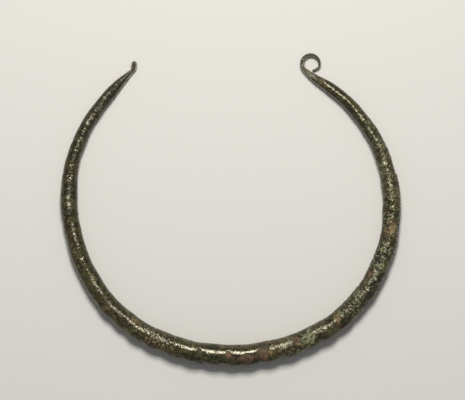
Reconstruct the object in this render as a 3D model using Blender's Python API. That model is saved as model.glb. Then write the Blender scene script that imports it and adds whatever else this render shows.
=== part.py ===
"""Bronze torc: one tapered bar bent into an open neck ring, with one end rolled into an eyelet
and the other broken off where its own curl began. It lies flat, its open side towards +Y."""

import math

import bmesh
import bpy
from mathutils import Matrix

# Hoop: how the middle line of the bar runs, from the bow at the bottom up each arm
HOOP_SPAN = 0.1516
STRETCH_SHARE = 0.263
LEFT_LAST_SHARE = 0.183
RIGHT_LAST_SHARE = 0.183
LEFT_TURNS = (27.3, 34.7, 27.4, 34.7, 13.4)
RIGHT_TURNS = (25.8, 35.0, 33.0, 33.0, 22.7)

# Bar: round, thickest at the bow, drawn out towards both ends
BAR_THICKNESS = 0.0103
ARM_END_THICKNESS = 0.0047
LEFT_TAPER_POWER = 1.4
RIGHT_TAPER_POWER = 1.7
UNDERSIDE_FLAT_DEPTH = 0.0001

# Lobes: shallow scallops along the outer face of the bow, fading out up both arms
LOBE_PITCH = 0.0092
LOBE_HEIGHT = 0.0007
LOBE_REACH_SHARE = 0.44
LOBE_FADE_SHARE = 0.4
LOBE_SHIFT = 0.0012
LOBE_DRIFT_SHARE = 0.08
LOBE_SLANT = 18.0
LOBE_FACE_ANGLE = 10.0

# Slow swellings of a bar that was worked by hand
LONG_SWELL_HEIGHT = 0.00014
LONG_SWELL_LENGTH = 0.0236
SHORT_SWELL_HEIGHT = 0.00008
SHORT_SWELL_LENGTH = 0.0136

# Crust: thick scabs of corrosion round the arms, placed by shares of an arm, minus for left
CRUST_HEIGHT = 0.0003
CRUST_PLACE_SHARES = (-0.637, 0.62)
CRUST_LENGTH = 0.020
CRUST_EDGE_LENGTH = 0.003

# Right end: a shoulder whose last run already turns outwards, then a hammered strip rolled into
# an eyelet with a bent tail
RIGHT_SHOULDER = 0.017
STRIP_THICKNESS = 0.0023
STRIP_HEIGHT = 0.0034
STRIP_SQUARENESS = 2.8
RUN_UP_LENGTH = 0.008
RUN_UP_TURN = 11.5
EYELET_BORE = 0.0060
EYELET_TURN = 250.0
EYELET_LEAN = 16.0
EYELET_LEAN_TOWARDS = 125.0
TAIL_THICKNESS = 0.0008
TAIL_HEIGHT = 0.0024
TAIL_TURN = 42.0
TAIL_BEND_SHARE = 0.3
TAIL_GAP = 0.0005

# Left end: a shoulder, a neck and the stub that is left of its curl
LEFT_SHOULDER = 0.017
NECK_THICKNESS = 0.0021
NECK_HEIGHT = 0.0030
STUB_THICKNESS = 0.0028
STUB_CURL_RADIUS = 0.0035
STUB_CURL_TURN = 42.0
STUB_STRAIGHT = 0.0026

# Facets
SECTION_SIDES = 16
ROUND_SQUARENESS = 2.0
ARM_STEP = 0.0021
END_STEP = 0.0010
TIP_STEPS = 4
SMALLEST_TIP_SHARE = 0.3
SHARP_EDGE_ANGLE = 60.0

# Looks
PATINA_COLOUR = (0.075, 0.072, 0.040, 1.0)
PATINA_ROUGHNESS = 0.42
PATINA_METALLIC = 0.35


def smooth(share):
    """An S-shaped rise from 0 to 1."""
    share = min(max(share, 0.0), 1.0)
    return share * share * (3.0 - 2.0 * share)


def between(first, last, share):
    return first + (last - first) * share


def arm_runs(turns, last_share):
    """The stretches of one arm as (length, turn), from the bow to the foot of its terminal."""
    lengths = [STRETCH_SHARE * HOOP_SPAN] * (len(turns) - 1) + [last_share * HOOP_SPAN]
    return [(length, math.radians(turn)) for length, turn in zip(lengths, turns)]


LEFT_ARM = arm_runs(LEFT_TURNS, LEFT_LAST_SHARE)
RIGHT_ARM = arm_runs(RIGHT_TURNS, RIGHT_LAST_SHARE) + [(RUN_UP_LENGTH, -math.radians(RUN_UP_TURN))]
LEFT_ARM_LENGTH = sum(length for length, _ in LEFT_ARM)
RIGHT_ARM_LENGTH = sum(length for length, _ in RIGHT_ARM)
EYELET_RADIUS = (EYELET_BORE + STRIP_THICKNESS) / 2


def curl(radius, degrees):
    """A stretch that turns outwards, as (length, turn)."""
    turn = math.radians(degrees)
    return radius * turn, -turn


def eyelet_runs():
    """The stretches of the eyelet: its round, a tight bend, and a tail that stops short of the strip."""
    bend_radius = TAIL_BEND_SHARE * EYELET_RADIUS
    bend_start = math.radians(EYELET_TURN)
    bend_end = math.radians(EYELET_TURN + TAIL_TURN)
    height = EYELET_RADIUS * (1.0 - math.cos(bend_start))
    height += bend_radius * (math.cos(bend_start) - math.cos(bend_end))
    tip_height = (STRIP_THICKNESS + TAIL_THICKNESS) / 2 + TAIL_GAP
    tail = (height - tip_height) / -math.sin(bend_end)
    return [curl(EYELET_RADIUS, EYELET_TURN), curl(bend_radius, TAIL_TURN), (tail, 0.0)]


EYELET = eyelet_runs()
EYELET_LENGTH = sum(length for length, _ in EYELET)
STUB = [curl(STUB_CURL_RADIUS, STUB_CURL_TURN), (STUB_STRAIGHT, 0.0)]
STUB_CURL_LENGTH = STUB[0][0]
STUB_LENGTH = sum(length for length, _ in STUB)

# Both lines start at the bow heading +X and turn left; the left arm's is mirrored afterwards
LEFT_LINE = LEFT_ARM + STUB
RIGHT_LINE = RIGHT_ARM + EYELET


def walk(line, distance):
    """Position and heading at a distance along a line of arcs and straights."""
    x = y = heading = 0.0
    left = distance
    for length, turn in line:
        step = min(left, length)
        turned = turn * step / length
        chord = step if abs(turned) < 1e-9 else 2 * step / turned * math.sin(turned / 2)
        x += chord * math.cos(heading + turned / 2)
        y += chord * math.sin(heading + turned / 2)
        heading += turned
        left -= step
        if left <= 0.0:
            break
    return x, y, heading


def middle_line(along):
    """Point and outward direction of the middle line at a signed distance from the bow, minus for left."""
    if along < 0.0:
        x, y, heading = walk(LEFT_LINE, -along)
        return -x, y, -math.sin(heading), -math.cos(heading)
    x, y, heading = walk(RIGHT_LINE, along)
    return x, y, math.sin(heading), -math.cos(heading)


def taper(distance, arm_length, power):
    """Thickness of the round bar at a distance up an arm."""
    used = min(distance / arm_length, 1.0) ** power
    return between(BAR_THICKNESS, ARM_END_THICKNESS, used)


def drawn_share(left, shoulder):
    """How far the bar is drawn down where a length is left of its shoulder."""
    return min(max(1.0 - left / shoulder, 0.0), 1.0) ** 2


def section_size(along):
    """Thickness, height and squareness of the bar's section at a signed distance from the bow."""
    distance = abs(along)
    if along < 0.0:
        round_bar = taper(distance, LEFT_ARM_LENGTH, LEFT_TAPER_POWER)
        drawn = drawn_share(LEFT_ARM_LENGTH - distance, LEFT_SHOULDER)
        past = smooth((distance - LEFT_ARM_LENGTH) / STUB_CURL_LENGTH)
        thickness = between(between(round_bar, NECK_THICKNESS, drawn), STUB_THICKNESS, past)
        return thickness, between(round_bar, NECK_HEIGHT, drawn), ROUND_SQUARENESS
    round_bar = taper(distance, RIGHT_ARM_LENGTH, RIGHT_TAPER_POWER)
    drawn = drawn_share(RIGHT_ARM_LENGTH - distance, RIGHT_SHOULDER)
    past = min(max(0.0, distance - RIGHT_ARM_LENGTH) / EYELET_LENGTH, 1.0)
    thickness = between(round_bar, between(STRIP_THICKNESS, TAIL_THICKNESS, past), drawn)
    height = between(round_bar, between(STRIP_HEIGHT, TAIL_HEIGHT, past), drawn)
    return thickness, height, between(ROUND_SQUARENESS, STRIP_SQUARENESS, drawn)


def lobes(along, angle, radius):
    """Height of the scallops on the outer face; they fade out before the crest and the underside."""
    facing = smooth(math.cos(angle - math.radians(LOBE_FACE_ANGLE)))
    reach = LOBE_REACH_SHARE * LEFT_ARM_LENGTH
    fading = smooth((reach - abs(along)) / (LOBE_FADE_SHARE * reach))
    slanted = along - LOBE_SHIFT + radius * angle * math.tan(math.radians(LOBE_SLANT))
    drifting = slanted + LOBE_DRIFT_SHARE * LOBE_PITCH * math.sin(slanted / LOBE_PITCH)
    scallop = abs(math.cos(math.pi * drifting / LOBE_PITCH)) - 2.0 / math.pi
    return LOBE_HEIGHT * scallop * facing * fading


def swellings(along, angle, radius):
    """Slow swellings of the bar, which shrink with it."""
    long_turn = 2 * math.pi * along / LONG_SWELL_LENGTH
    short_turn = 2 * math.pi * along / SHORT_SWELL_LENGTH
    swelling = LONG_SWELL_HEIGHT * math.sin(long_turn + angle)
    swelling += SHORT_SWELL_HEIGHT * math.sin(short_turn - 2 * angle)
    return swelling * radius / (BAR_THICKNESS / 2)


def crust(along):
    """Height of the crust, with a step at each end of each scab."""
    arm_length = LEFT_ARM_LENGTH if along < 0.0 else RIGHT_ARM_LENGTH
    away = min(abs(along - share * arm_length) for share in CRUST_PLACE_SHARES)
    return CRUST_HEIGHT * smooth((CRUST_LENGTH / 2 - away) / CRUST_EDGE_LENGTH)


def tip_share(along):
    """How far the section has shrunk in the rounded tip of either end."""
    if along < 0.0:
        left, tip = LEFT_ARM_LENGTH + STUB_LENGTH + along, STUB_THICKNESS / 2
    else:
        left, tip = RIGHT_ARM_LENGTH + EYELET_LENGTH - along, TAIL_THICKNESS / 2
    if left >= tip:
        return 1.0
    short = 1.0 - left / tip
    return max(math.sqrt(max(0.0, 1.0 - short * short)), SMALLEST_TIP_SHARE)


def surface_point(along, angle):
    """A point of the surface: angle 0 faces out of the hoop, a quarter turn faces up."""
    x, y, out_x, out_y = middle_line(along)
    thickness, height, squareness = section_size(along)
    shrink = tip_share(along)
    power = ROUND_SQUARENESS / squareness
    across = math.copysign(abs(math.cos(angle)) ** power, math.cos(angle))
    upward = math.copysign(abs(math.sin(angle)) ** power, math.sin(angle))
    swell = swellings(along, angle, thickness / 2) + crust(along)
    swell = swell * smooth(1.0 + math.sin(angle)) + lobes(along, angle, thickness / 2)
    swell *= min(1.0, thickness / ARM_END_THICKNESS) ** 2
    side = across * (thickness / 2 * shrink + swell)
    rise = upward * (height / 2 * shrink + swell)
    lean = rise * math.tan(math.radians(EYELET_LEAN))
    lean *= smooth((along - RIGHT_ARM_LENGTH + EYELET_RADIUS) / EYELET_RADIUS)
    lean_x = lean * math.cos(math.radians(EYELET_LEAN_TOWARDS))
    lean_y = lean * math.sin(math.radians(EYELET_LEAN_TOWARDS))
    level = height / 2 - UNDERSIDE_FLAT_DEPTH
    return x + side * out_x + lean_x, y + side * out_y + lean_y, max(0.0, level + rise)


def spread(first, last, step):
    """Evenly spaced places from first up to, but without, last."""
    count = max(1, round((last - first) / step))
    return [between(first, last, k / count) for k in range(count)]


def stations():
    """Where the bar's rings of vertices stand, from the stub's tip round to the tail's tip."""
    left_tip = -(LEFT_ARM_LENGTH + STUB_LENGTH)
    right_tip = RIGHT_ARM_LENGTH + EYELET_LENGTH
    left_round, right_round = STUB_THICKNESS / 2, TAIL_THICKNESS / 2
    places = spread(left_tip, left_tip + left_round, left_round / TIP_STEPS)
    places += spread(left_tip + left_round, LEFT_SHOULDER - LEFT_ARM_LENGTH, END_STEP)
    places += spread(LEFT_SHOULDER - LEFT_ARM_LENGTH, RIGHT_ARM_LENGTH - RIGHT_SHOULDER, ARM_STEP)
    places += spread(RIGHT_ARM_LENGTH - RIGHT_SHOULDER, right_tip - right_round, END_STEP)
    places += spread(right_tip - right_round, right_tip, right_round / TIP_STEPS)
    return places + [right_tip]


def patina_material():
    material = bpy.data.materials.new("patinated_bronze")
    material.use_nodes = True
    shader = material.node_tree.nodes["Principled BSDF"]
    shader.inputs["Base Color"].default_value = PATINA_COLOUR
    shader.inputs["Roughness"].default_value = PATINA_ROUGHNESS
    shader.inputs["Metallic"].default_value = PATINA_METALLIC
    return material


def straight_bar(bm, ring_count):
    """A straight round bar of unit size along Z, cut into rings, with both ends closed."""
    bmesh.ops.create_cone(
        bm, cap_ends=True, segments=SECTION_SIDES, radius1=1.0, radius2=1.0, depth=1.0
    )
    long_edges = [e for e in bm.edges if abs(e.verts[0].co.z - e.verts[1].co.z) > 0.5]
    bmesh.ops.subdivide_edges(bm, edges=long_edges, cuts=ring_count - 2, use_grid_fill=True)
    half_side = math.pi / SECTION_SIDES
    bmesh.ops.rotate(bm, verts=bm.verts, matrix=Matrix.Rotation(half_side, 3, "Z"))


def bend_bar(bm, places):
    """Bends the straight bar along the hoop and gives each ring its section."""
    half_side = math.pi / SECTION_SIDES
    for vert in bm.verts:
        ring = round((vert.co.z + 0.5) * (len(places) - 1))
        angle = round(math.atan2(vert.co.y, vert.co.x) / half_side) * half_side
        vert.co = surface_point(places[ring], angle)


def centre_on_floor(bm):
    """Puts the middle of the bar's box on the origin, its underside at height 0."""
    lows = [min(vert.co[axis] for vert in bm.verts) for axis in range(3)]
    highs = [max(vert.co[axis] for vert in bm.verts) for axis in range(3)]
    shift = (-(lows[0] + highs[0]) / 2, -(lows[1] + highs[1]) / 2, -lows[2])
    bmesh.ops.translate(bm, verts=bm.verts, vec=shift)


def build_torc():
    places = stations()
    bm = bmesh.new()
    straight_bar(bm, len(places))
    bend_bar(bm, places)
    centre_on_floor(bm)
    bmesh.ops.recalc_face_normals(bm, faces=bm.faces)
    bmesh.ops.triangulate(bm, faces=bm.faces)
    mesh = bpy.data.meshes.new("torc")
    bm.to_mesh(mesh)
    bm.free()
    mesh.materials.append(patina_material())
    mesh.shade_smooth()
    mesh.set_sharp_from_angle(angle=math.radians(SHARP_EDGE_ANGLE))
    torc = bpy.data.objects.new("torc", mesh)
    bpy.context.scene.collection.objects.link(torc)
    return torc


for thing in list(bpy.data.objects):
    bpy.data.objects.remove(thing)
build_torc()
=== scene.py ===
"""How the bronze torc looks: a fine mesh of its corroded bar on a pale floor, seen from above."""

import math

import bmesh
import bpy
from mathutils import Matrix, Vector, noise


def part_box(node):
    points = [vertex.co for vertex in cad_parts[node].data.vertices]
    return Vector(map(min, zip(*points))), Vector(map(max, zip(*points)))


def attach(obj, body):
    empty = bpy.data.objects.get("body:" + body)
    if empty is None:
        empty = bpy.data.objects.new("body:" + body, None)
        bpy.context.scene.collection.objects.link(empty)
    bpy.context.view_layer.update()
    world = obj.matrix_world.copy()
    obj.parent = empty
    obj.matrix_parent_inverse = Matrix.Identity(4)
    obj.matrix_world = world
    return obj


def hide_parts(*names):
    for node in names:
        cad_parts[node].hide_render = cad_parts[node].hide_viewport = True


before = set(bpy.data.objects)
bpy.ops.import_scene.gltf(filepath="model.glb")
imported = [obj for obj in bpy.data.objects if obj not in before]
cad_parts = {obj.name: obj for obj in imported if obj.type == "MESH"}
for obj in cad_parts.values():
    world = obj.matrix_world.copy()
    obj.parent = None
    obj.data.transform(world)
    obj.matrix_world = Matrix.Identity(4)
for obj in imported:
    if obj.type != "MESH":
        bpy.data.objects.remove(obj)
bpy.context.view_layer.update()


# Torc, its middle line: the bar was cast straight, then bent cold into an open neck ring. Each
# half is a chain of shallow arcs. The right end was hammered into a strip and rolled outwards
# into an eyelet with a bent tail, and the left end broke off where its own roll began.
HOOP_SPAN = 0.1516
STRETCH_SHARE = 0.263
LEFT_LAST_SHARE = 0.183
RIGHT_LAST_SHARE = 0.183
LEFT_TURNS = (27.3, 34.7, 27.4, 34.7, 13.4)
RIGHT_TURNS = (25.8, 35.0, 33.0, 33.0, 22.7)

STRIP_THICKNESS = 0.0023
RUN_UP_LENGTH = 0.008
RUN_UP_TURN = 11.5
EYELET_BORE = 0.0060
EYELET_TURN = 250.0
EYELET_LEAN = 16.0
EYELET_LEAN_TOWARDS = 125.0
TAIL_THICKNESS = 0.0008
TAIL_TURN = 42.0
TAIL_BEND_SHARE = 0.3
TAIL_GAP = 0.0005

STUB_CURL_RADIUS = 0.0035
STUB_CURL_TURN = 42.0
STUB_STRAIGHT = 0.0026
SMALLEST_TURN = 1e-9


def arm_runs(turns, last_share):
    """The stretches of one arm as (length, turn), from the bow to the foot of its terminal."""
    lengths = [STRETCH_SHARE * HOOP_SPAN] * (len(turns) - 1) + [last_share * HOOP_SPAN]
    return [(length, math.radians(turn)) for length, turn in zip(lengths, turns)]


def curl(radius, degrees):
    """A stretch that turns outwards, as (length, turn)."""
    turn = math.radians(degrees)
    return radius * turn, -turn


def eyelet_runs():
    """The stretches of the eyelet: its round, a tight bend, and a tail that stops short of the strip."""
    bend_radius = TAIL_BEND_SHARE * EYELET_RADIUS
    bend_start = math.radians(EYELET_TURN)
    bend_end = math.radians(EYELET_TURN + TAIL_TURN)
    height = EYELET_RADIUS * (1.0 - math.cos(bend_start))
    height += bend_radius * (math.cos(bend_start) - math.cos(bend_end))
    tip_height = (STRIP_THICKNESS + TAIL_THICKNESS) / 2 + TAIL_GAP
    tail = (height - tip_height) / -math.sin(bend_end)
    return [curl(EYELET_RADIUS, EYELET_TURN), curl(bend_radius, TAIL_TURN), (tail, 0.0)]


LEFT_ARM = arm_runs(LEFT_TURNS, LEFT_LAST_SHARE)
RIGHT_ARM = arm_runs(RIGHT_TURNS, RIGHT_LAST_SHARE) + [(RUN_UP_LENGTH, -math.radians(RUN_UP_TURN))]
LEFT_ARM_LENGTH = sum(length for length, _ in LEFT_ARM)
RIGHT_ARM_LENGTH = sum(length for length, _ in RIGHT_ARM)
EYELET_RADIUS = (EYELET_BORE + STRIP_THICKNESS) / 2
EYELET = eyelet_runs()
EYELET_LENGTH = sum(length for length, _ in EYELET)
STUB = [curl(STUB_CURL_RADIUS, STUB_CURL_TURN), (STUB_STRAIGHT, 0.0)]
STUB_CURL_LENGTH = STUB[0][0]
STUB_LENGTH = sum(length for length, _ in STUB)
LEFT_LINE = LEFT_ARM + STUB
RIGHT_LINE = RIGHT_ARM + EYELET


def walk(line, distance):
    """Position and heading at a distance along a line of arcs and straights."""
    x = y = heading = 0.0
    left = distance
    for length, turn in line:
        step = min(left, length)
        turned = turn * step / length
        chord = step if abs(turned) < SMALLEST_TURN else 2 * step / turned * math.sin(turned / 2)
        x += chord * math.cos(heading + turned / 2)
        y += chord * math.sin(heading + turned / 2)
        heading += turned
        left -= step
        if left <= 0.0:
            break
    return x, y, heading


def middle_line(along):
    """Point and outward direction of the middle line at a distance from the bow, minus for left."""
    if along < 0.0:
        x, y, heading = walk(LEFT_LINE, -along)
        return -x, y, -math.sin(heading), -math.cos(heading)
    x, y, heading = walk(RIGHT_LINE, along)
    return x, y, math.sin(heading), -math.cos(heading)


# Torc, its section: round and thickest at the bow, drawn out towards both ends, with a flat
# underside no deeper than a scratch where it has worn on whatever it lay on.
BAR_THICKNESS = 0.0103
ARM_END_THICKNESS = 0.0047
LEFT_TAPER_POWER = 1.4
RIGHT_TAPER_POWER = 1.7
UNDERSIDE_FLAT_DEPTH = 0.0001
RIGHT_SHOULDER = 0.017
STRIP_HEIGHT = 0.0034
STRIP_SQUARENESS = 2.8
TAIL_HEIGHT = 0.0024
LEFT_SHOULDER = 0.017
NECK_THICKNESS = 0.0021
NECK_HEIGHT = 0.0030
STUB_THICKNESS = 0.0028
ROUND_SQUARENESS = 2.0
SMALLEST_TIP_SHARE = 0.12


def smooth(share):
    """An S-shaped rise from 0 to 1."""
    share = min(max(share, 0.0), 1.0)
    return share * share * (3.0 - 2.0 * share)


def between(first, last, share):
    return first + (last - first) * share


def taper(distance, arm_length, power):
    """Thickness of the round bar at a distance up an arm."""
    used = min(distance / arm_length, 1.0) ** power
    return between(BAR_THICKNESS, ARM_END_THICKNESS, used)


def drawn_share(left, shoulder):
    """How far the bar is drawn down where a length is left of its shoulder."""
    return min(max(1.0 - left / shoulder, 0.0), 1.0) ** 2


def section_size(along):
    """Thickness, height and squareness of the bar's section at a signed distance from the bow."""
    distance = abs(along)
    if along < 0.0:
        round_bar = taper(distance, LEFT_ARM_LENGTH, LEFT_TAPER_POWER)
        drawn = drawn_share(LEFT_ARM_LENGTH - distance, LEFT_SHOULDER)
        past = smooth((distance - LEFT_ARM_LENGTH) / STUB_CURL_LENGTH)
        thickness = between(between(round_bar, NECK_THICKNESS, drawn), STUB_THICKNESS, past)
        return thickness, between(round_bar, NECK_HEIGHT, drawn), ROUND_SQUARENESS
    round_bar = taper(distance, RIGHT_ARM_LENGTH, RIGHT_TAPER_POWER)
    drawn = drawn_share(RIGHT_ARM_LENGTH - distance, RIGHT_SHOULDER)
    past = min(max(0.0, distance - RIGHT_ARM_LENGTH) / EYELET_LENGTH, 1.0)
    thickness = between(round_bar, between(STRIP_THICKNESS, TAIL_THICKNESS, past), drawn)
    height = between(round_bar, between(STRIP_HEIGHT, TAIL_HEIGHT, past), drawn)
    return thickness, height, between(ROUND_SQUARENESS, STRIP_SQUARENESS, drawn)


def tip_share(along):
    """How far the section has shrunk in the rounded tip of either end."""
    if along < 0.0:
        left, tip = LEFT_ARM_LENGTH + STUB_LENGTH + along, STUB_THICKNESS / 2
    else:
        left, tip = RIGHT_ARM_LENGTH + EYELET_LENGTH - along, TAIL_THICKNESS / 2
    if left >= tip:
        return 1.0
    short = 1.0 - left / tip
    return max(math.sqrt(max(0.0, 1.0 - short * short)), SMALLEST_TIP_SHARE)


# Torc, its modelled form: scallops beaten along the outer face of the bow, slow swellings of a
# bar worked by hand, and a thick scab of corrosion round each arm.
LOBE_PITCH = 0.0092
LOBE_HEIGHT = 0.0007
LOBE_REACH_SHARE = 0.44
LOBE_FADE_SHARE = 0.4
LOBE_SHIFT = 0.0012
LOBE_DRIFT_SHARE = 0.08
LOBE_SLANT = 18.0
LOBE_FACE_ANGLE = 10.0
LONG_SWELL_HEIGHT = 0.00014
LONG_SWELL_LENGTH = 0.0236
SHORT_SWELL_HEIGHT = 0.00008
SHORT_SWELL_LENGTH = 0.0136
CRUST_HEIGHT = 0.0003
CRUST_PLACE_SHARES = (-0.637, 0.62)
CRUST_LENGTH = 0.020
CRUST_EDGE_LENGTH = 0.0012
CRUST_EDGE_WANDER = 0.0016
CRUST_EDGE_WANDER_SCALE = 0.3


def lobes(along, angle, radius):
    """Height of the scallops on the outer face; they fade out before the crest and the underside."""
    facing = smooth(math.cos(angle - math.radians(LOBE_FACE_ANGLE)))
    reach = LOBE_REACH_SHARE * LEFT_ARM_LENGTH
    fading = smooth((reach - abs(along)) / (LOBE_FADE_SHARE * reach))
    slanted = along - LOBE_SHIFT + radius * angle * math.tan(math.radians(LOBE_SLANT))
    drifting = slanted + LOBE_DRIFT_SHARE * LOBE_PITCH * math.sin(slanted / LOBE_PITCH)
    scallop = abs(math.cos(math.pi * drifting / LOBE_PITCH)) - 2.0 / math.pi
    return LOBE_HEIGHT * scallop * facing * fading


def swellings(along, angle, radius):
    """Slow swellings of the bar, which shrink with it."""
    long_turn = 2 * math.pi * along / LONG_SWELL_LENGTH
    short_turn = 2 * math.pi * along / SHORT_SWELL_LENGTH
    swelling = LONG_SWELL_HEIGHT * math.sin(long_turn + angle)
    swelling += SHORT_SWELL_HEIGHT * math.sin(short_turn - 2 * angle)
    return swelling * radius / (BAR_THICKNESS / 2)


def crust(along, place):
    """Height of the crust, with a ragged step at each end of each scab."""
    arm_length = LEFT_ARM_LENGTH if along < 0.0 else RIGHT_ARM_LENGTH
    away = min(abs(along - share * arm_length) for share in CRUST_PLACE_SHARES)
    wander = CRUST_EDGE_WANDER * noise.noise(place * CRUST_EDGE_WANDER_SCALE)
    return CRUST_HEIGHT * smooth((CRUST_LENGTH / 2 - away + wander) / CRUST_EDGE_LENGTH)


def modelled_form(along, angle, radius, place):
    """Height of all three at a place; the swellings and the crust fade out on the underside."""
    raised = swellings(along, angle, radius) + crust(along, place)
    return raised * smooth(1.0 + math.sin(angle)) + lobes(along, angle, radius)


# Torc, its corroded skin: its long time in the ground raised blisters, knobs and cracked plates
# of crust, ate pits, left stains, and shed flakes, whose spalls show red-brown oxide or ochre
# earth. The hammer's cross marks show through. Sizes here are millimetres on the straight bar.
MILLIMETRE = 0.001
GRAIN_FALL = 0.9
GRAIN_STEP = 2.0
BLISTER_HEIGHT = 0.11
BLISTER_SIZE = 4.6
BLISTER_SEED = 0.0
BLISTERS_ON_SMOOTH = 0.6
LUMP_HEIGHT = 0.12
LUMP_SIZE = 1.5
LUMP_SEED = 5.0
LUMPS_OFF_SPALLS = 0.5
BOSS_HEIGHT = 0.3
SPALL_DEPTH = 0.15

# Each stretch where the crust stayed smooth: distance from the bow (minus for left) and length
SMOOTH_STRETCHES = (
    (-76.0, 56.0),
    (-10.0, 26.0),
    (8.0, 18.0),
    (174.0, 24.0),
)
SMOOTH_SHARE = 0.15
SMOOTH_FADE = 9.0
ROUGH_ZONE_SIZE = 10.0
ROUGH_ZONE_SEED = 41.0
ROUGH_ZONE_GAIN = 1.3
ROUGH_ZONE_LEAST = 0.5
ROUGHEST_MIDDLE = 104.0
ROUGHEST_LENGTH = 86.0
ROUGHEST_GAIN = 0.8

PLATE_STEP = 0.12
PLATE_LEVEL_SCALE = 3.1
PLATE_SIZE = 4.2
PLATE_WARP = 0.5
PLATE_WARP_SCALE = 0.8
PLATE_ZONE_SIZE = 15.0
PLATE_ZONE_SEED = 31.0
PLATE_ZONE_GAIN = 1.5
PLATES_ON_SMOOTH = 0.3
CRACK_DEPTH = 0.16
CRACK_WIDTH = 0.12

PIT_DEPTH = 0.20
PIT_SPACING = 1.25
PIT_SIZE = 0.55
PIT_CHOICE_GAIN = 2.4
PIT_CHOICE_SCALE = 2.7
PIT_CHOICE_SHARE = 0.6
PIT_ZONE_SIZE = 9.0
PIT_ZONE_SEED = 3.0
PIT_ZONE_GAIN = 1.3
PIT_ZONE_SHARE = 0.6
PITS_ON_SMOOTH = 0.1
PITS_OFF_SPALLS = 0.8

RIB_HEIGHT = 0.13
RIB_LENGTH = 1.15
RIB_WIDTH = 4.5
RIB_FALL = 1.0
RIB_OCTAVES = 2
RIB_START = 62.0
RIB_FADE = 50.0
RIB_UPPER_GAIN = 1.6
RIB_UPPER_DROP = 0.3
RIBS_ON_SMOOTH = 0.4
CROSS_MARK_HEIGHT = 0.16
CROSS_MARK_PITCH = 1.6
CROSS_MARK_MIDDLE = -175.5
CROSS_MARK_LENGTH = 14.0
CROSS_MARK_FADE = 5.0
CROSS_MARK_UPPER_GAIN = 2.6
CROSS_MARK_UPPER_DROP = 1.2
CROSS_MARK_WANDER = 2.0
CROSS_MARK_WANDER_SCALE = 0.5

# Each spot: distance from the bow (minus for left), degrees round from the outer side, length
# and width
RED_BROWN_SPOTS = (
    (6.2, 68.0, 12.6, 5.2),
    (15.6, 99.0, 5.0, 10.6),
    (-1.0, 99.0, 2.8, 4.0),
    (-15.0, 102.0, 2.6, 3.8),
    (32.2, 109.0, 3.4, 8.6),
    (53.2, 64.0, 2.6, 4.2),
    (80.8, 134.0, 4.6, 3.6),
    (98.0, 52.0, 3.0, 1.6),
)
OCHRE_SPOTS = (
    (17.8, 84.0, 3.8, 5.0),
    (31.8, 74.0, 2.6, 3.0),
    (54.8, 113.0, 3.6, 5.2),
    (101.5, 118.0, 9.0, 4.0),
    (105.8, 90.0, 6.4, 6.0),
    (186.5, 84.0, 6.0, 3.0),
    (-47.5, 132.0, 7.0, 2.4),
)
PALE_SPOTS = (
    (37.5, 92.0, 7.0, 6.4),
    (57.0, 124.0, 2.6, 2.8),
    (31.4, 58.0, 2.2, 2.2),
    (80.0, 92.0, 1.8, 3.0),
    (87.0, 86.0, 3.4, 2.8),
    (95.5, 119.0, 4.8, 2.2),
    (160.0, 36.0, 20.0, 1.4),
    (-169.0, 64.0, 2.2, 2.4),
    (-165.0, 104.0, 2.4, 1.4),
)
SPOT_EDGE = 0.14
SPOT_RAGGED = 0.62
SPOT_REACH = 1.7
RAGGED_SIZE = 2.0
RAGGED_SEED = 7.0
RAGGED_OCTAVES = 4
STRAY_SPALL_SIZE = 5.0
STRAY_SPALL_SEED = 23.0
STRAY_SPALL_GAIN = 7.0
STRAY_SPALL_DROP = 3.6
STRAY_SPALL_SHARE = 0.6

# Each brown stain, which lies in the crust and leaves its height as it is: as for the spots
STAINS = (
    (45.5, 61.0, 4.6, 4.0),
    (76.5, 128.0, 5.0, 3.0),
    (113.5, 110.0, 3.2, 3.6),
    (129.5, 54.0, 11.0, 2.4),
    (140.3, 92.0, 7.0, 3.4),
    (-17.0, 121.0, 8.0, 3.0),
    (-34.0, 66.0, 14.0, 3.6),
    (-49.0, 110.0, 6.0, 3.4),
    (-62.0, 66.0, 16.0, 3.0),
    (-92.5, 66.0, 13.0, 3.4),
    (-106.5, 72.0, 6.0, 2.6),
    (-127.0, 128.0, 4.4, 2.2),
    (-146.0, 126.0, 6.0, 2.0),
    (-170.0, 118.0, 6.0, 2.0),
)
STAIN_SHARE = 0.4

# Each boss, a knob of crust that stands proud and carries a painted glint: as for the spots
BOSSES = (
    (74.2, 84.0, 1.6, 1.4),
    (80.6, 84.0, 1.8, 2.4),
    (98.2, 86.0, 1.6, 1.6),
    (111.0, 84.0, 1.6, 2.2),
    (115.5, 86.0, 2.0, 1.8),
    (125.4, 88.0, 2.4, 2.6),
    (126.8, 96.0, 2.0, 1.8),
    (132.8, 88.0, 2.0, 2.0),
    (136.0, 90.0, 2.2, 3.4),
    (152.0, 88.0, 1.8, 2.0),
    (159.2, 90.0, 1.8, 2.0),
    (-115.2, 92.0, 2.4, 2.8),
    (-118.6, 88.0, 2.2, 2.4),
    (-155.0, 88.0, 2.4, 2.6),
    (-169.4, 80.0, 2.8, 2.6),
    (-171.8, 74.0, 1.6, 1.4),
)

DULL_STEEPNESS = 1.2
LEFT_DULL_LENGTH = 36.0
RIGHT_DULL_LENGTH = 11.0
# Painted shade, which darkens the colour towards both ends
SHADE_FADE = 30.0
LEFT_SHADE_START = 88.0
LEFT_SHADE_SHARE = 0.42
RIGHT_SHADE_START = 134.0
RIGHT_SHADE_SHARE = 0.25
STROKE_START = 36.0
STROKE_FADE = 26.0
# Painted rim highlight: pale bronze along the flanks near both ends and the edges drawn out from them
RIM_HIGHLIGHT_LENGTH = 32.0
RIM_HIGHLIGHT_EDGE = 0.93
RIM_HIGHLIGHT_EDGE_SOFTNESS = 0.07
DRAWN_RIM_HIGHLIGHT_EDGE = 0.46
DRAWN_RIM_HIGHLIGHT_EDGE_SOFTNESS = 0.16
RIM_HIGHLIGHT_UPPER_GAIN = 2.2


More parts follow.
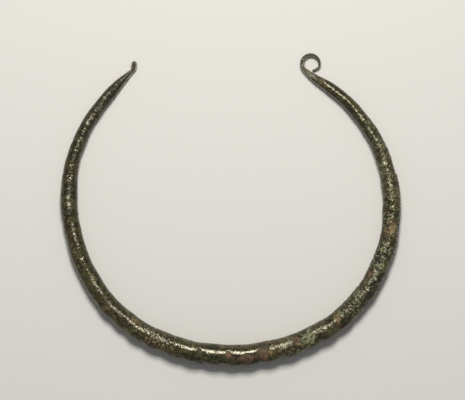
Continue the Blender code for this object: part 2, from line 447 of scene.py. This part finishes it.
def layered(place, size, seed, octaves=3):
    """Layered noise around 0 with the given grain size."""
    return noise.fractal(place / size + Vector((seed, 0.0, 0.0)), GRAIN_FALL, GRAIN_STEP, octaves)


def zone(place, size, seed, gain, middle=0.5):
    """Soft patches from 0 to 1."""
    return smooth(middle + gain * layered(place, size, seed))


def within(along, middle, length, fade):
    """How far a place lies within a stretch of the bar, 0 to 1, over a fade at its ends."""
    return smooth(0.5 + (length / 2 - abs(along - middle)) / fade)


def arm_left(along):
    """The length from a place to the end of its arm, minus beyond it."""
    return (LEFT_ARM_LENGTH if along < 0.0 else RIGHT_ARM_LENGTH) / MILLIMETRE - abs(along)


def roughness_of(along, place):
    """How rough the crust is at a place, from its smooth stretches to its roughest."""
    patchy = zone(place, ROUGH_ZONE_SIZE, ROUGH_ZONE_SEED, ROUGH_ZONE_GAIN)
    rough = between(ROUGH_ZONE_LEAST, 1.0, patchy)
    rough += ROUGHEST_GAIN * within(along, ROUGHEST_MIDDLE, ROUGHEST_LENGTH, SMOOTH_FADE)
    smoothest = max(within(along, *stretch, SMOOTH_FADE) for stretch in SMOOTH_STRETCHES)
    return between(rough, SMOOTH_SHARE, smoothest)


def plates(place):
    """Height of the crust where it cracked into plates, each on a level of its own."""
    warped = place + PLATE_WARP * noise.noise_vector(place * PLATE_WARP_SCALE)
    distances, corners = noise.voronoi(warped / PLATE_SIZE)
    level = noise.noise(corners[0] * PLATE_LEVEL_SCALE)
    crack = smooth(1.0 - (distances[1] - distances[0]) / CRACK_WIDTH)
    cracked = zone(place, PLATE_ZONE_SIZE, PLATE_ZONE_SEED, PLATE_ZONE_GAIN)
    return cracked * (PLATE_STEP * level - CRACK_DEPTH * crack)


def pits(place):
    """How deep a place lies in a pit, 0 to 1; only some of the cells of a loose net hold one."""
    distances, corners = noise.voronoi(place / PIT_SPACING)
    choice = PIT_CHOICE_GAIN * noise.noise(corners[0] * PIT_CHOICE_SCALE) + PIT_CHOICE_SHARE
    pitted = zone(place, PIT_ZONE_SIZE, PIT_ZONE_SEED, PIT_ZONE_GAIN, PIT_ZONE_SHARE)
    return smooth(choice) * pitted * smooth(1.0 - distances[0] / PIT_SIZE)


def ribs(along, angle, place):
    """Height of the hammer's fine cross marks along the upper side of both arms."""
    on_arm = smooth((abs(along) - RIB_START) / RIB_FADE)
    upper = smooth(RIB_UPPER_GAIN * math.sin(angle) - RIB_UPPER_DROP)
    stretched = Vector((place.x / RIB_LENGTH, place.y / RIB_WIDTH, place.z / RIB_WIDTH))
    return noise.fractal(stretched, RIB_FALL, GRAIN_STEP, RIB_OCTAVES) * on_arm * upper


def cross_marks(along, angle, place):
    """Height of the even cross marks on the upper side of the left shoulder."""
    upper = smooth(CROSS_MARK_UPPER_GAIN * math.sin(angle) - CROSS_MARK_UPPER_DROP)
    wander = CROSS_MARK_WANDER * noise.noise(place * CROSS_MARK_WANDER_SCALE)
    mark = math.sin(2 * math.pi * along / CROSS_MARK_PITCH + wander)
    return mark * upper * within(along, CROSS_MARK_MIDDLE, CROSS_MARK_LENGTH, CROSS_MARK_FADE)


def spot_share(spots, along, angle, radius, ragged):
    """How far a place lies inside any of the spots, 0 outside and 1 well within."""
    most = 0.0
    for spot_along, spot_angle, length, width in spots:
        aside = 2 * (along - spot_along) / length
        if abs(aside) > SPOT_REACH:
            continue
        round_ = 2 * radius * (angle - math.radians(spot_angle)) / width
        outside = math.hypot(aside, round_) + SPOT_RAGGED * ragged
        most = max(most, smooth((1.0 + SPOT_EDGE - outside) / (2 * SPOT_EDGE)))
    return most


def bosses(along, angle, radius):
    """Height of the bosses at a place, as a share of the highest."""
    most = 0.0
    for boss_along, boss_angle, length, width in BOSSES:
        aside = 2 * (along - boss_along) / length
        round_ = 2 * radius * (angle - math.radians(boss_angle)) / width
        most = max(most, smooth(1.0 - math.hypot(aside, round_)))
    return most


def dulled_share(along):
    """How far the crust has lost its shine, towards both ends."""
    dull_length = LEFT_DULL_LENGTH if along < 0.0 else RIGHT_DULL_LENGTH
    return smooth(DULL_STEEPNESS * (1.0 - arm_left(along) / dull_length))


def painted_shade_share(along):
    """How far painted shade darkens the colour towards both ends."""
    if along < 0.0:
        return LEFT_SHADE_SHARE * smooth((-along - LEFT_SHADE_START) / SHADE_FADE)
    return RIGHT_SHADE_SHARE * smooth((along - RIGHT_SHADE_START) / SHADE_FADE)


def rim_highlight_share(along, angle):
    """How far a painted rim highlight lies on the flanks near both ends, and on the edges drawn out from
    them.
    """
    left = arm_left(along)
    drawn = drawn_share(left, (LEFT_SHOULDER if along < 0.0 else RIGHT_SHOULDER) / MILLIMETRE)
    edge = between(RIM_HIGHLIGHT_EDGE, DRAWN_RIM_HIGHLIGHT_EDGE, drawn)
    softness = between(RIM_HIGHLIGHT_EDGE_SOFTNESS, DRAWN_RIM_HIGHLIGHT_EDGE_SOFTNESS, drawn)
    flank = smooth((abs(math.cos(angle)) - edge) / softness)
    upper = smooth(1.0 + RIM_HIGHLIGHT_UPPER_GAIN * math.sin(angle))
    return smooth(1.0 - left / RIM_HIGHLIGHT_LENGTH) * flank * upper


def skin_height(along, angle, place, rough, bared):
    """Height of the skin at a place, but for the bosses."""
    blisters = between(BLISTERS_ON_SMOOTH, 1.0, rough) * layered(place, BLISTER_SIZE, BLISTER_SEED)
    lumps = rough * (1.0 - LUMPS_OFF_SPALLS * bared) * layered(place, LUMP_SIZE, LUMP_SEED)
    pitted = pits(place) * between(PITS_ON_SMOOTH, 1.0, rough) * (1.0 - PITS_OFF_SPALLS * bared)
    height = BLISTER_HEIGHT * blisters + LUMP_HEIGHT * lumps - PIT_DEPTH * pitted
    height += plates(place) * between(PLATES_ON_SMOOTH, 1.0, rough) * (1.0 - bared)
    height += RIB_HEIGHT * between(RIBS_ON_SMOOTH, 1.0, rough) * ribs(along, angle, place)
    height += CROSS_MARK_HEIGHT * cross_marks(along, angle, place)
    return height - SPALL_DEPTH * bared


def skin(along, angle, radius, place):
    """Height of the skin at a place, how much painted shadow lies along a spall's broken edge, and what
    the patina, its painted shade and painted highlights read there, each as a share."""
    ragged = layered(place, RAGGED_SIZE, RAGGED_SEED, RAGGED_OCTAVES)
    stray = layered(place, STRAY_SPALL_SIZE, STRAY_SPALL_SEED, RAGGED_OCTAVES)
    stray_spall = STRAY_SPALL_SHARE * smooth(STRAY_SPALL_GAIN * stray - STRAY_SPALL_DROP)
    side = (along, angle, radius, ragged)
    red_brown = max(spot_share(RED_BROWN_SPOTS, *side), stray_spall)
    ochre = spot_share(OCHRE_SPOTS, *side)
    rough = roughness_of(along, place)
    boss = bosses(along, angle, radius)
    height = skin_height(along, angle, place, rough, max(red_brown, ochre)) + BOSS_HEIGHT * boss
    # Painted shadow along the broken edge of each red-brown spall
    spall_edge_shadow = 4.0 * red_brown * (1.0 - red_brown)
    shown = {
        "rough": rough,
        "red_brown": max(red_brown, STAIN_SHARE * spot_share(STAINS, *side)),
        "ochre": ochre,
        "pale": spot_share(PALE_SPOTS, *side),
        "boss": boss,
        "dulled": dulled_share(along),
        "painted_shade": painted_shade_share(along),
        "stroked": smooth((abs(along) - STROKE_START) / STROKE_FADE),
        "rim_highlight": rim_highlight_share(along, angle),
    }
    return height, spall_edge_shadow, shown


# Torc, its mesh: a straight round bar, cut into fine rings and bent along the middle line. What
# its skin shows is noted at each vertex, and so is the vertex's place on the straight bar.
SIDES = 72
ARM_STEP = 0.00032
END_STEP = 0.00025
TIP_STEPS = 9
TOP_GATHERING = 0.35
HIGHEST_RELIEF = 0.0003
EDGE_SHADOW_SHARE = 0.9
STRIP_GROOVE_DEPTH = 0.00024
STRIP_GROOVE_STEEPNESS = 3.2
STRIP_GROOVE_HALF_WIDTH = 0.5
SHARES_NOTED = (
    "rise", "rim_highlight", "dulled", "painted_shade", "stroked", "rough", "red_brown", "ochre", "pale", "boss",
)


def spread(first, last, step):
    """Evenly spaced places from first up to, but without, last."""
    count = max(1, round((last - first) / step))
    return [between(first, last, k / count) for k in range(count)]


def stations():
    """Where the bar's rings of vertices stand, from the stub's tip round to the tail's tip."""
    left_tip = -(LEFT_ARM_LENGTH + STUB_LENGTH)
    right_tip = RIGHT_ARM_LENGTH + EYELET_LENGTH
    left_round, right_round = STUB_THICKNESS / 2, TAIL_THICKNESS / 2
    places = spread(left_tip, left_tip + left_round, left_round / TIP_STEPS)
    places += spread(left_tip + left_round, LEFT_SHOULDER - LEFT_ARM_LENGTH, END_STEP)
    places += spread(LEFT_SHOULDER - LEFT_ARM_LENGTH, RIGHT_ARM_LENGTH - RIGHT_SHOULDER, ARM_STEP)
    places += spread(RIGHT_ARM_LENGTH - RIGHT_SHOULDER, right_tip - right_round, END_STEP)
    places += spread(right_tip - right_round, right_tip, right_round / TIP_STEPS)
    return places + [right_tip]


def straight_bar(bm, ring_count):
    """A straight round bar of unit size along Z, cut into rings, with both ends closed."""
    bmesh.ops.create_cone(bm, cap_ends=True, segments=SIDES, radius1=1.0, radius2=1.0, depth=1.0)
    long_edges = [e for e in bm.edges if abs(e.verts[0].co.z - e.verts[1].co.z) > 0.5]
    bmesh.ops.subdivide_edges(bm, edges=long_edges, cuts=ring_count - 2, use_grid_fill=True)


def section_point(angle, squareness):
    """How far out and up a point of the section lies, as shares of its half sizes."""
    power = ROUND_SQUARENESS / squareness
    across = math.copysign(abs(math.cos(angle)) ** power, math.cos(angle))
    upward = math.copysign(abs(math.sin(angle)) ** power, math.sin(angle))
    return across, upward


def groove(angle):
    """How deep a place lies in the groove along the upper side of the strip, 0 to 1."""
    if math.sin(angle) <= 0.0:
        return 0.0
    return smooth(STRIP_GROOVE_STEEPNESS * (STRIP_GROOVE_HALF_WIDTH - abs(math.cos(angle))))


def lean_of(along, rise):
    """How far a point leans aside on the tilted eyelet, by its height over the middle line."""
    lean = rise * math.tan(math.radians(EYELET_LEAN))
    lean *= smooth((along - RIGHT_ARM_LENGTH + EYELET_RADIUS) / EYELET_RADIUS)
    towards = math.radians(EYELET_LEAN_TOWARDS)
    return lean * math.cos(towards), lean * math.sin(towards)


def bend_bar(bm, places):
    """Bends the straight bar along the hoop, shapes each ring and notes what its skin shows."""
    layers = {name: bm.verts.layers.float.new(name) for name in SHARES_NOTED}
    on_bar_layer = bm.verts.layers.float_vector.new("on_bar")
    lines = [(middle_line(along), section_size(along), tip_share(along)) for along in places]
    for vert in bm.verts:
        ring = round((vert.co.z + 0.5) * (len(places) - 1))
        along = places[ring]
        angle = math.atan2(vert.co.y, vert.co.x)
        angle += TOP_GATHERING * math.cos(angle)
        (x, y, out_x, out_y), (thickness, height, squareness), shrink = lines[ring]
        across, upward = section_point(angle, squareness)
        radius = thickness / 2
        on_bar = Vector((along, radius * across, height / 2 * upward)) / MILLIMETRE
        around = angle % (2 * math.pi)
        raised, spall_edge_shadow, shown = skin(along / MILLIMETRE, around, radius / MILLIMETRE, on_bar)
        thinned = min(1.0, thickness / ARM_END_THICKNESS)
        relief = raised * MILLIMETRE * thinned
        swell = modelled_form(along, angle, radius, on_bar) * thinned ** 2
        swell += min(relief, HIGHEST_RELIEF)
        on_strip = smooth((along - RIGHT_ARM_LENGTH + RIGHT_SHOULDER / 2) / (RIGHT_SHOULDER / 2))
        sunk = on_strip * groove(angle)
        side = across * (radius * shrink + swell)
        rise = upward * (height / 2 * shrink + swell) - STRIP_GROOVE_DEPTH * sunk
        lean_x, lean_y = lean_of(along, rise)
        level = height / 2 - UNDERSIDE_FLAT_DEPTH
        vert.co = (x + side * out_x + lean_x, y + side * out_y + lean_y, max(0.0, level + rise))
        # The noted rise is the relief, lowered by painted shadow along the spalls' broken edges and by
        # the strip's groove, which the patina darkens
        shown["rise"] = relief / HIGHEST_RELIEF - EDGE_SHADOW_SHARE * spall_edge_shadow - sunk
        shown["rough"] *= 1.0 - on_strip
        for name, share in shown.items():
            vert[layers[name]] = share
        vert[on_bar_layer] = on_bar


def centre_in_box(bm, low, high):
    """Puts the middle of the bar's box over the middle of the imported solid's box."""
    lows = [min(vert.co[axis] for vert in bm.verts) for axis in range(3)]
    highs = [max(vert.co[axis] for vert in bm.verts) for axis in range(3)]
    shift = [(low[axis] + high[axis] - lows[axis] - highs[axis]) / 2 for axis in range(2)]
    bmesh.ops.translate(bm, verts=bm.verts, vec=(shift[0], shift[1], low[2] - lows[2]))


places = stations()
bm = bmesh.new()
straight_bar(bm, len(places))
bend_bar(bm, places)
centre_in_box(bm, *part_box("torc"))
bmesh.ops.recalc_face_normals(bm, faces=bm.faces)
torc_mesh = bpy.data.meshes.new("corroded_torc")
bm.to_mesh(torc_mesh)
bm.free()
torc_mesh.shade_smooth()
torc = bpy.data.objects.new("corroded_torc", torc_mesh)
bpy.context.scene.collection.objects.link(torc)


# Torc, its patina: waxed, nearly black olive corrosion over bronze, mottled at every scale with
# # grey-green, dark with soil in the pits and cracks and with painted shadow along the spalls' broken
# edges, worn lighter on the high places, with painted shade towards both ends, a painted rim highlight on
# the flanks near them and painted glints on the bosses.
DARK_PATINA_AND_SHADE = (0.009, 0.009, 0.004, 1.0)
OLIVE_PATINA = (0.040, 0.037, 0.011, 1.0)
GREEN_PATINA = (0.070, 0.071, 0.026, 1.0)
PALE_PATINA = (0.235, 0.230, 0.130, 1.0)
BROWN_PATINA = (0.062, 0.042, 0.016, 1.0)
SOIL_AND_SHADOW = (0.006, 0.005, 0.002, 1.0)
CUPRITE = (0.145, 0.078, 0.044, 1.0)
DARK_CUPRITE = (0.080, 0.042, 0.024, 1.0)
OCHRE_EARTH = (0.235, 0.160, 0.075, 1.0)
DARK_OCHRE = (0.155, 0.092, 0.040, 1.0)
PALE_CRUST = (0.195, 0.205, 0.105, 1.0)
DARK_CRUST = (0.036, 0.040, 0.016, 1.0)
BOSS_PAINTED_GLINT = (0.340, 0.320, 0.220, 1.0)
RIM_HIGHLIGHT_BRONZE = (0.340, 0.325, 0.220, 1.0)
WAX_TINT = (1.0, 0.96, 0.76, 1.0)
WAX_IOR = 1.53
WAX_ROUGHNESS = 0.18
BARE_ROUGHNESS = 0.55
DULLED_ROUGHNESS = 0.18
BUMP_HEIGHT = 0.00016
FINE_BUMP_SHARE = 0.3
STROKE_BUMP_SHARE = 0.5

# Each grain: its size in millimetres, detail, sharpness and twist
CLOUD_GRAIN = (14.0, 3.0)
MOTTLE_GRAIN = (2.6, 5.0, 0.65, 0.6)
SPECK_GRAIN = (1.05, 3.0, 0.62)
FINE_GRAIN = (0.35, 3.0, 0.7)
STROKE_GRAIN = (0.32, 2.0)
STROKE_SQUEEZE = (1.0, 0.12, 0.12)

# Each range: from what to what a grain or a share counts, and how much it then does
FELT_RANGE = (0.0, 1.5, 0.38, 1.5)
OLIVE_RANGE = (0.38, 0.62)
BROWN_RANGE = (0.51, 0.68, 0.0, 0.6)
GREEN_RANGE = (0.26, 0.44, 0.0, 0.75)
CLOUDS_OFF_GREEN = -0.5
EDGE_WEAR = 2.2
RED_BROWN_RANGE = (0.3, 0.8, 0.0, 0.92)
OCHRE_RANGE = (0.3, 0.8, 0.0, 0.85)
PALE_RANGE = (0.3, 0.8, 0.0, 0.75)
SPALL_TONE_RANGE = (0.36, 0.60)
CRUST_TONE_RANGE = (0.43, 0.57)
CALM_ON_SPALLS = 0.6
PALE_SPECK_RANGE = (0.55, 0.66, 0.0, 0.55)
DARK_SPECK_RANGE = (0.47, 0.38, 0.0, 0.85)
HOLLOW_RANGE = (0.50, 0.40, 0.0, 0.16)
WORN_RISE_RANGE = (0.1, 0.5)
WORN_GRAIN_RANGE = (0.40, 0.62)
WORN_SHARE = 0.5
SOIL_AND_SHADOW_RANGE = (-0.30, -0.75, 0.0, 0.9)
BOSS_GLINT_RANGE = (0.15, 0.6, 0.0, 0.8)
DULLED_DARKNESS = 0.75
RIM_HIGHLIGHT_RANGE = (0.36, 0.56, 0.35, 0.9)


def put(tree, kind, **settings):
    """A new node of a kind, with its settings."""
    node = tree.nodes.new("ShaderNode" + kind)
    for name, value in settings.items():
        setattr(node, name, value)
    return node


def feed(tree, socket, source):
    """Links a source into a socket, or sets the socket where the source is a plain value."""
    if isinstance(source, bpy.types.NodeSocket):
        tree.links.new(source, socket)
    else:
        socket.default_value = source


def noted(tree, name):
    """What the mesh notes at each vertex under a name, as a number."""
    return put(tree, "Attribute", attribute_name=name).outputs["Fac"]


def grain(tree, place, size, detail, sharpness=0.6, twist=0.0):
    """Noise with a grain size in millimetres, from 0 to 1 around a half."""
    node = put(tree, "TexNoise")
    feed(tree, node.inputs["Vector"], place)
    node.inputs["Scale"].default_value = 1.0 / size
    node.inputs["Detail"].default_value = detail
    node.inputs["Roughness"].default_value = sharpness
    node.inputs["Distortion"].default_value = twist
    return node.outputs["Fac"]


def ranged(tree, source, low, high, to_low=0.0, to_high=1.0):
    """Maps low..high smoothly to to_low..to_high."""
    node = put(tree, "MapRange", interpolation_type="SMOOTHSTEP")
    feed(tree, node.inputs["Value"], source)
    node.inputs["From Min"].default_value = low
    node.inputs["From Max"].default_value = high
    node.inputs["To Min"].default_value = to_low
    node.inputs["To Max"].default_value = to_high
    return node.outputs["Result"]


def reckoned(tree, operation, first, second):
    node = put(tree, "Math", operation=operation)
    feed(tree, node.inputs[0], first)
    feed(tree, node.inputs[1], second)
    return node.outputs[0]


def plus(tree, first, second):
    return reckoned(tree, "ADD", first, second)


def less(tree, first, second):
    return reckoned(tree, "SUBTRACT", first, second)


def times(tree, first, second):
    return reckoned(tree, "MULTIPLY", first, second)


def larger(tree, first, second):
    return reckoned(tree, "MAXIMUM", first, second)


def blended(tree, share, first, second):
    """The first colour where share is 0, the second where it is 1."""
    node = put(tree, "Mix", data_type="RGBA")
    feed(tree, node.inputs["Factor"], share)
    feed(tree, node.inputs[6], first)
    feed(tree, node.inputs[7], second)
    return node.outputs[2]


def strokes_of(tree, place):
    """Fine cross strokes, made of grain squeezed along the bar."""
    squeezed = put(tree, "VectorMath", operation="MULTIPLY")
    feed(tree, squeezed.inputs[0], place)
    squeezed.inputs[1].default_value = STROKE_SQUEEZE
    return grain(tree, squeezed.outputs["Vector"], *STROKE_GRAIN)


def crust_colour(tree, clouds, mottle):
    """The colour of the sound crust: nearly black and olive, clouded with brown and green."""
    colour = blended(tree, ranged(tree, mottle, *OLIVE_RANGE), DARK_PATINA_AND_SHADE, OLIVE_PATINA)
    colour = blended(tree, ranged(tree, clouds, *BROWN_RANGE), colour, BROWN_PATINA)
    greener = plus(tree, times(tree, clouds, CLOUDS_OFF_GREEN), mottle)
    return blended(tree, ranged(tree, greener, *GREEN_RANGE), colour, GREEN_PATINA)


def patina_material():
    material = bpy.data.materials.new("waxed_bronze_patina")
    material.use_nodes = True
    tree = material.node_tree
    shader = tree.nodes["Principled BSDF"]
    place = put(tree, "Attribute", attribute_name="on_bar").outputs["Vector"]
    clouds, mottle = grain(tree, place, *CLOUD_GRAIN), grain(tree, place, *MOTTLE_GRAIN)
    specks, fine = grain(tree, place, *SPECK_GRAIN), grain(tree, place, *FINE_GRAIN)
    rise, dulled = noted(tree, "rise"), noted(tree, "dulled")
    felt = ranged(tree, noted(tree, "rough"), *FELT_RANGE)

    worn_edge = times(tree, less(tree, specks, 0.5), EDGE_WEAR)
    reddened = ranged(tree, plus(tree, noted(tree, "red_brown"), worn_edge), *RED_BROWN_RANGE)
    earthed = ranged(tree, plus(tree, noted(tree, "ochre"), worn_edge), *OCHRE_RANGE)
    crusted = ranged(tree, plus(tree, noted(tree, "pale"), worn_edge), *PALE_RANGE)
    spall_tone = ranged(tree, mottle, *SPALL_TONE_RANGE)
    crust_tone = ranged(tree, specks, *CRUST_TONE_RANGE)
    colour = crust_colour(tree, clouds, mottle)
    colour = blended(tree, reddened, colour, blended(tree, spall_tone, DARK_CUPRITE, CUPRITE))
    colour = blended(tree, earthed, colour, blended(tree, spall_tone, DARK_OCHRE, OCHRE_EARTH))
    colour = blended(tree, crusted, colour, blended(tree, crust_tone, DARK_CRUST, PALE_CRUST))

    spalled = larger(tree, reddened, earthed)
    flecked = times(tree, felt, less(tree, 1.0, times(tree, spalled, CALM_ON_SPALLS)))
    lightened = times(tree, ranged(tree, specks, *PALE_SPECK_RANGE), flecked)
    colour = blended(tree, lightened, colour, PALE_PATINA)
    darkened = times(tree, ranged(tree, specks, *DARK_SPECK_RANGE), flecked)
    colour = blended(tree, darkened, colour, DARK_PATINA_AND_SHADE)
    worn = times(tree, ranged(tree, rise, *WORN_RISE_RANGE), ranged(tree, fine, *WORN_GRAIN_RANGE))
    colour = blended(tree, times(tree, worn, WORN_SHARE), colour, PALE_PATINA)
    # Soil darkens the pits and cracks, painted shadow the spalls' broken edges, and the strip's groove is
    # darkened as well
    colour = blended(tree, ranged(tree, rise, *SOIL_AND_SHADOW_RANGE), colour, SOIL_AND_SHADOW)
    # Painted shade towards both ends
    colour = blended(tree, noted(tree, "painted_shade"), colour, DARK_PATINA_AND_SHADE)
    # A painted glint in cream on each boss
    colour = blended(tree, ranged(tree, noted(tree, "boss"), *BOSS_GLINT_RANGE), colour, BOSS_PAINTED_GLINT)
    colour = blended(tree, times(tree, dulled, DULLED_DARKNESS), colour, DARK_PATINA_AND_SHADE)
    # Painted rim highlight, in pale bronze along the flanks near both ends
    rim_highlight = times(tree, noted(tree, "rim_highlight"), ranged(tree, specks, *RIM_HIGHLIGHT_RANGE))
    feed(tree, shader.inputs["Base Color"], blended(tree, rim_highlight, colour, RIM_HIGHLIGHT_BRONZE))

    hollow = times(tree, ranged(tree, specks, *HOLLOW_RANGE), felt)
    bare = times(tree, larger(tree, spalled, crusted), BARE_ROUGHNESS)
    dull = larger(tree, bare, times(tree, dulled, DULLED_ROUGHNESS))
    roughness = plus(tree, plus(tree, hollow, WAX_ROUGHNESS), dull)
    feed(tree, shader.inputs["Roughness"], roughness)
    shader.inputs["Metallic"].default_value = 0.0
    shader.inputs["IOR"].default_value = WAX_IOR
    shader.inputs["Specular Tint"].default_value = WAX_TINT

    grit = times(tree, plus(tree, specks, times(tree, fine, FINE_BUMP_SHARE)), felt)
    stroked = times(tree, times(tree, noted(tree, "stroked"), STROKE_BUMP_SHARE), strokes_of(tree, place))
    bump = put(tree, "Bump")
    bump.inputs["Distance"].default_value = BUMP_HEIGHT
    bump.inputs["Strength"].default_value = 1.0
    feed(tree, bump.inputs["Height"], plus(tree, grit, stroked))
    feed(tree, shader.inputs["Normal"], bump.outputs["Normal"])
    return material


torc_mesh.materials.append(patina_material())
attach(torc, "root")
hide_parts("torc")


# Floor: a plain pale sheet that the torc lies on
FLOOR_SIZE = 6.0
FLOOR_COLOUR = (0.57, 0.562, 0.546, 1.0)
FLOOR_ROUGHNESS = 0.8

bm = bmesh.new()
bmesh.ops.create_grid(bm, x_segments=1, y_segments=1, size=FLOOR_SIZE / 2)
floor_mesh = bpy.data.meshes.new("floor")
bm.to_mesh(floor_mesh)
bm.free()
floor = bpy.data.objects.new("floor", floor_mesh)
bpy.context.scene.collection.objects.link(floor)
floor_material = bpy.data.materials.new("pale_floor")
floor_material.use_nodes = True
floor_shader = floor_material.node_tree.nodes["Principled BSDF"]
floor_shader.inputs["Base Color"].default_value = FLOOR_COLOUR
floor_shader.inputs["Roughness"].default_value = FLOOR_ROUGHNESS
floor_mesh.materials.append(floor_material)


# Light: one long soft lamp above the open side of the torc, and an even pale sky to fill
KEY_DISTANCE = 0.9
KEY_TILT = 29.5
KEY_WIDTH = 0.26
KEY_LENGTH = 0.28
KEY_POWER = 9.6
KEY_COLOUR = (1.0, 0.97, 0.91)
FILL_COLOUR = (0.98, 0.99, 1.0, 1.0)
FILL_STRENGTH = 0.26

key_light = bpy.data.lights.new("key", "AREA")
key_light.shape = "RECTANGLE"
key_light.size = KEY_WIDTH
key_light.size_y = KEY_LENGTH
key_light.energy = KEY_POWER
key_light.color = KEY_COLOUR
key = bpy.data.objects.new("key", key_light)
key_tilt = math.radians(KEY_TILT)
key.matrix_world = Matrix.Rotation(-key_tilt, 4, "X") @ Matrix.Translation((0.0, 0.0, KEY_DISTANCE))
bpy.context.scene.collection.objects.link(key)
sky = bpy.data.worlds.new("soft_fill")
sky.use_nodes = True
sky.node_tree.nodes["Background"].inputs["Color"].default_value = FILL_COLOUR
sky.node_tree.nodes["Background"].inputs["Strength"].default_value = FILL_STRENGTH
bpy.context.scene.world = sky
bpy.context.scene.view_settings.view_transform = "Standard"


# Camera: straight above the torc, as the photograph was taken, with the open side at the top
LENS = 200.0
SENSOR_WIDTH = 36.0
VIEW_WIDTH = 0.21855
VIEW_MIDDLE = (0.00090, 0.00475)

camera_data = bpy.data.cameras.new("camera")
camera_data.lens = LENS
camera_data.sensor_width = SENSOR_WIDTH
camera = bpy.data.objects.new("camera", camera_data)
camera.location = (*VIEW_MIDDLE, BAR_THICKNESS / 2 + VIEW_WIDTH * LENS / SENSOR_WIDTH)
bpy.context.scene.collection.objects.link(camera)
bpy.context.scene.camera = camera

bpy.context.view_layer.update()
